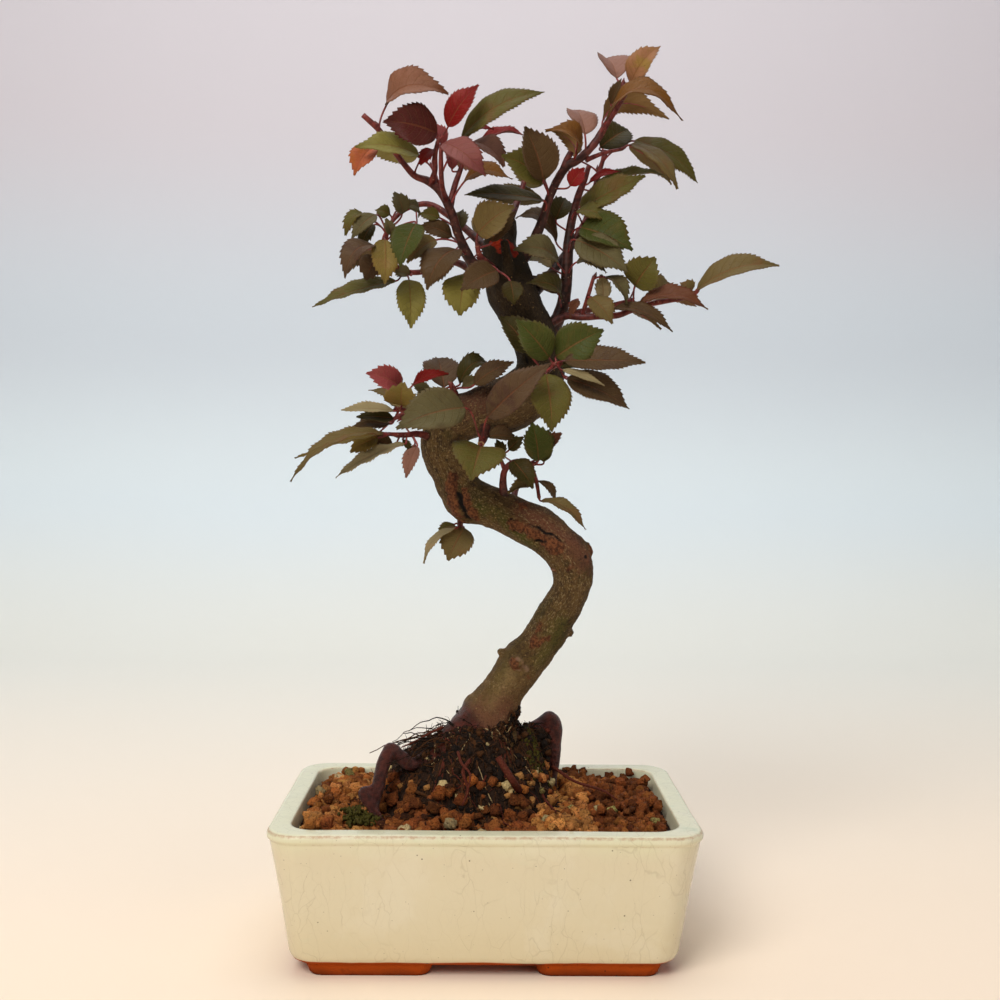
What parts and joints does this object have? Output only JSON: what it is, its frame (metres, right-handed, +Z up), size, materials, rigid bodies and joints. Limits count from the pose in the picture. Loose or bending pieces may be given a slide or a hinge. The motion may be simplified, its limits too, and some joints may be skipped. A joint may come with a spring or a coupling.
{
  "type": "apple bonsai",
  "caption": "Small apple tree with a twice-bent trunk, olive and red leaves and exposed roots, standing in grainy soil in a rectangular pale-glazed pot on four feet.",
  "frame": {"origin": "centre of the bounding box's underside, on the plane that the pot's feet stand on", "axes": "+Z up, +X to the right and +Y away from the viewer in the front view, which shows a long side of the pot"},
  "size_m": [0.2134, 0.122, 0.3948],
  "materials": {
    "glazed_stoneware": "gloss",
    "screen_plastic": "matte",
    "akadama": "matte",
    "root_mat": "matte",
    "bark": "matte",
    "leaf": "satin",
    "red_leaf": "satin"
  },
  "bodies": {
    "root": {"pot": "glazed_stoneware", "drain_screen_left": "screen_plastic", "drain_screen_right": "screen_plastic", "soil": "akadama", "root_ball": "root_mat", "trunk": "bark", "branch_left": "leaf", "red_shoot_left": "red_leaf", "red_shoot_inner": "red_leaf", "pink_shoot": "red_leaf", "branch_centre": "leaf", "branch_right": "leaf", "branch_low_right": "leaf", "branch_far_left": "leaf", "spur_centre": "leaf", "spur_right": "leaf", "spur_front": "leaf", "spur_top": "leaf", "red_shoot_low": "red_leaf", "shoot_left": "leaf", "shoot_low_left": "leaf", "shoot_low_right": "leaf", "shoot_under": "leaf", "far_left": "leaf", "far_top": "leaf", "far_right": "leaf", "far_low_right": "leaf", "far_whorl": "leaf", "far_bend": "leaf", "far_low": "leaf"}
  },
  "joints": []
}
